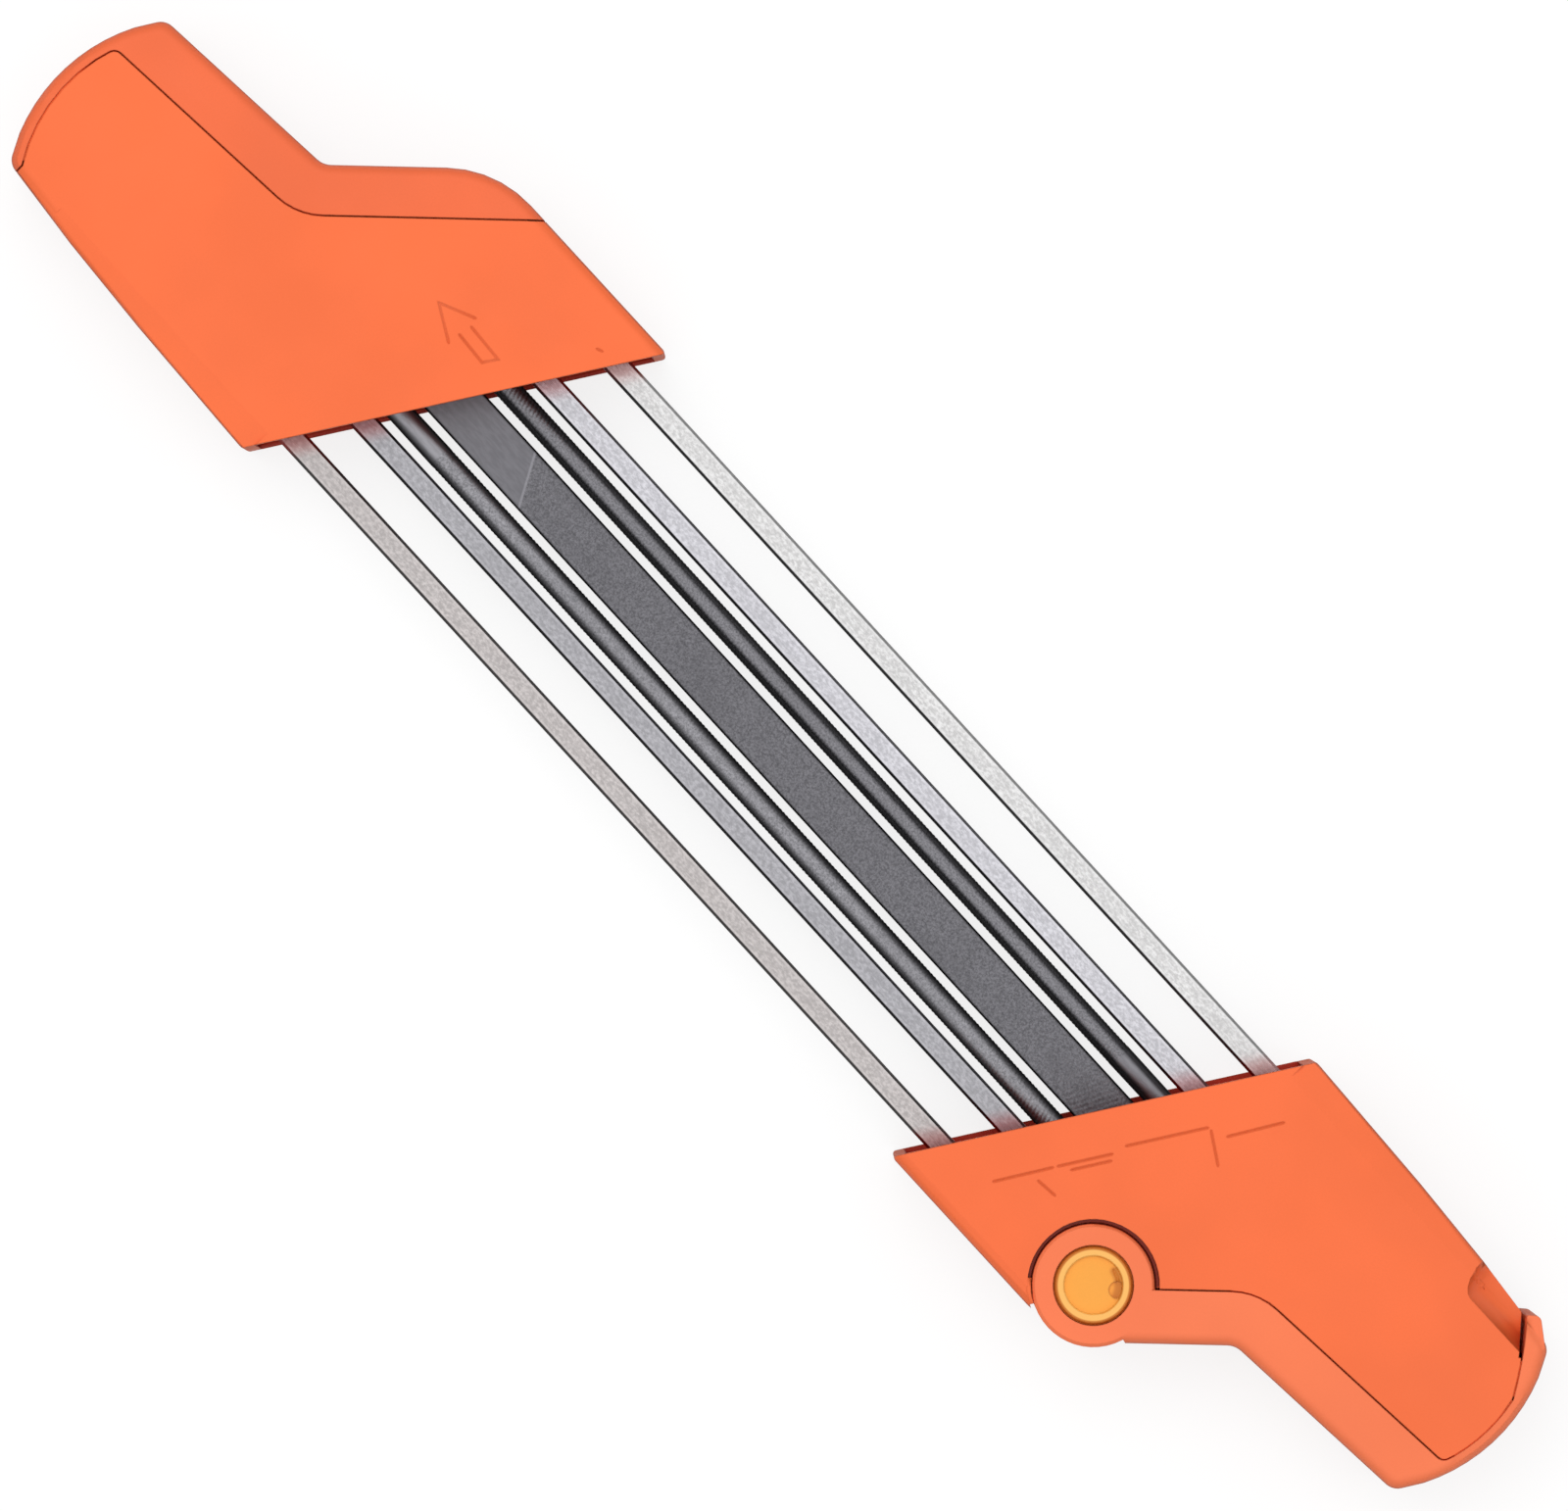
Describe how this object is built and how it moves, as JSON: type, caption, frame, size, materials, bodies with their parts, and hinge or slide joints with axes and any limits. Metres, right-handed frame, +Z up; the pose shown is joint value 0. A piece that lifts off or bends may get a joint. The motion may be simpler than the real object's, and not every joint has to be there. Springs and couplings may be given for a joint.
{
  "type": "chainsaw file guide",
  "caption": "Flat filing guide for saw chains: round and flat files between steel rails, held by slanted moulded handles, the rear one closed by a hinged, latched flap.",
  "frame": {"origin": "middle of the guide's length and width, at the plane that the handles lie on", "axes": "+X along the files towards the hinged rear handle, +Y across the files, +Z up out of the pictured face"},
  "size_m": [0.3672, 0.07, 0.028],
  "materials": {
    "orange_plastic": "fine satin moulding",
    "yellow_plastic": "smooth moulding",
    "pad_rubber": "matt",
    "file_steel": "fine cut, dark grey",
    "rail_steel": "bright drawn",
    "dowel_steel": "plain"
  },
  "bodies": {
    "guide": {"front_handle_body": "orange_plastic", "front_handle_cover": "orange_plastic", "rear_handle_body": "orange_plastic", "hinge_pin": "yellow_plastic", "hinge_pin_cap": "yellow_plastic", "round_file_left": "file_steel", "flat_file": "file_steel", "round_file_right": "file_steel", "rail_outer_left": "rail_steel", "rail_inner_left": "rail_steel", "rail_inner_right": "rail_steel", "rail_outer_right": "rail_steel", "rail_pin_front_outer_left": "dowel_steel", "rail_pin_front_inner_left": "dowel_steel", "rail_pin_front_inner_right": "dowel_steel", "rail_pin_front_outer_right": "dowel_steel", "rail_pin_rear_outer_left": "dowel_steel", "rail_pin_rear_inner_left": "dowel_steel", "rail_pin_rear_inner_right": "dowel_steel", "rail_pin_rear_outer_right": "dowel_steel"},
    "flap": {"closing_flap": "orange_plastic", "file_stop_pad": "pad_rubber"}
  },
  "joints": [
    {"name": "flap_hinge", "type": "hinge", "parent": "guide", "child": "flap", "pos_m": [0.11185, -0.0235, 0.014], "axis": [0, 0, -1], "range_deg": [0, 95]}
  ]
}
